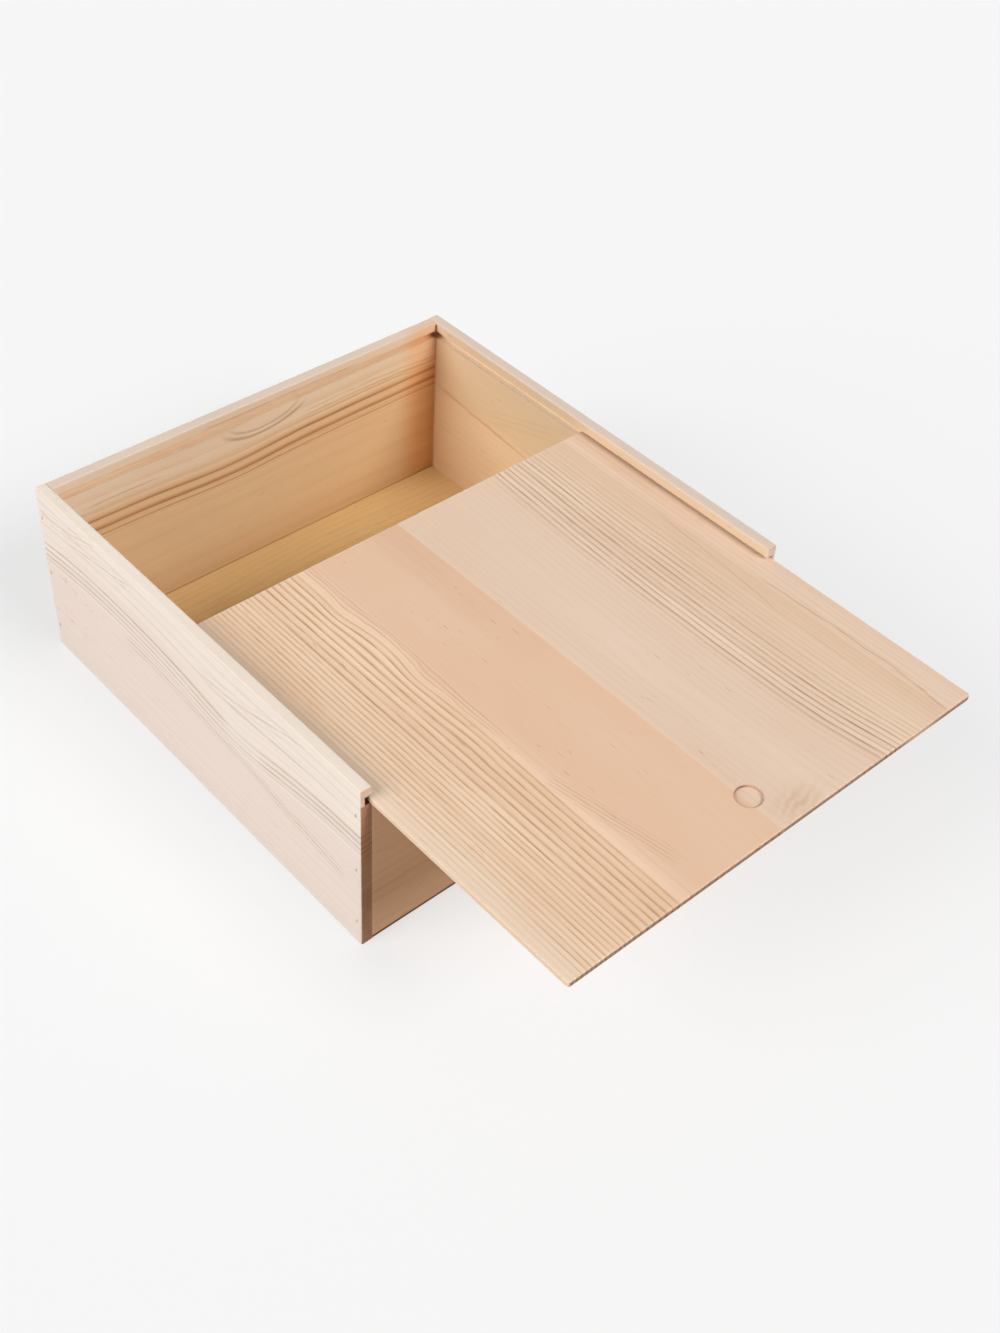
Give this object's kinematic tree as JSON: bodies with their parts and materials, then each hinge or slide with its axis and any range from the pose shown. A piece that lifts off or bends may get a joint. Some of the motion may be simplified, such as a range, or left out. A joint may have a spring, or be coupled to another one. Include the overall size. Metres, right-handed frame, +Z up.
{
  "type": "slide-lid wooden gift box",
  "caption": "Square pine gift box with a flat lid that slides out of the front in grooves, pulled halfway out, with a round finger recess.",
  "frame": {"origin": "middle of the box's underside, where it rests on a table", "axes": "+X to the box's right, +Y to its back, +Z up; the lid slides out towards -Y"},
  "size_m": [0.25, 0.368, 0.1],
  "materials": {
    "side_pine": "sanded, unfinished",
    "wall_pine": "sanded, unfinished",
    "lid_pine": "sanded, unfinished",
    "floor_plywood": "sanded plywood, unfinished",
    "brad_steel": "zinc-coated wire"
  },
  "bodies": {
    "box": {"left_side": "side_pine", "right_side": "side_pine", "front_wall": "wall_pine", "back_wall": "wall_pine", "floor_panel": "floor_plywood", "front_corner_brads": "brad_steel", "back_corner_brads": "brad_steel"},
    "lid": {"lid_board_left": "lid_pine", "lid_board_right": "lid_pine"}
  },
  "joints": [
    {"name": "lid_slide", "type": "slide", "parent": "box", "child": "lid", "axis": [0, -1, 0], "range_m": [-0.118, 0.125]}
  ]
}
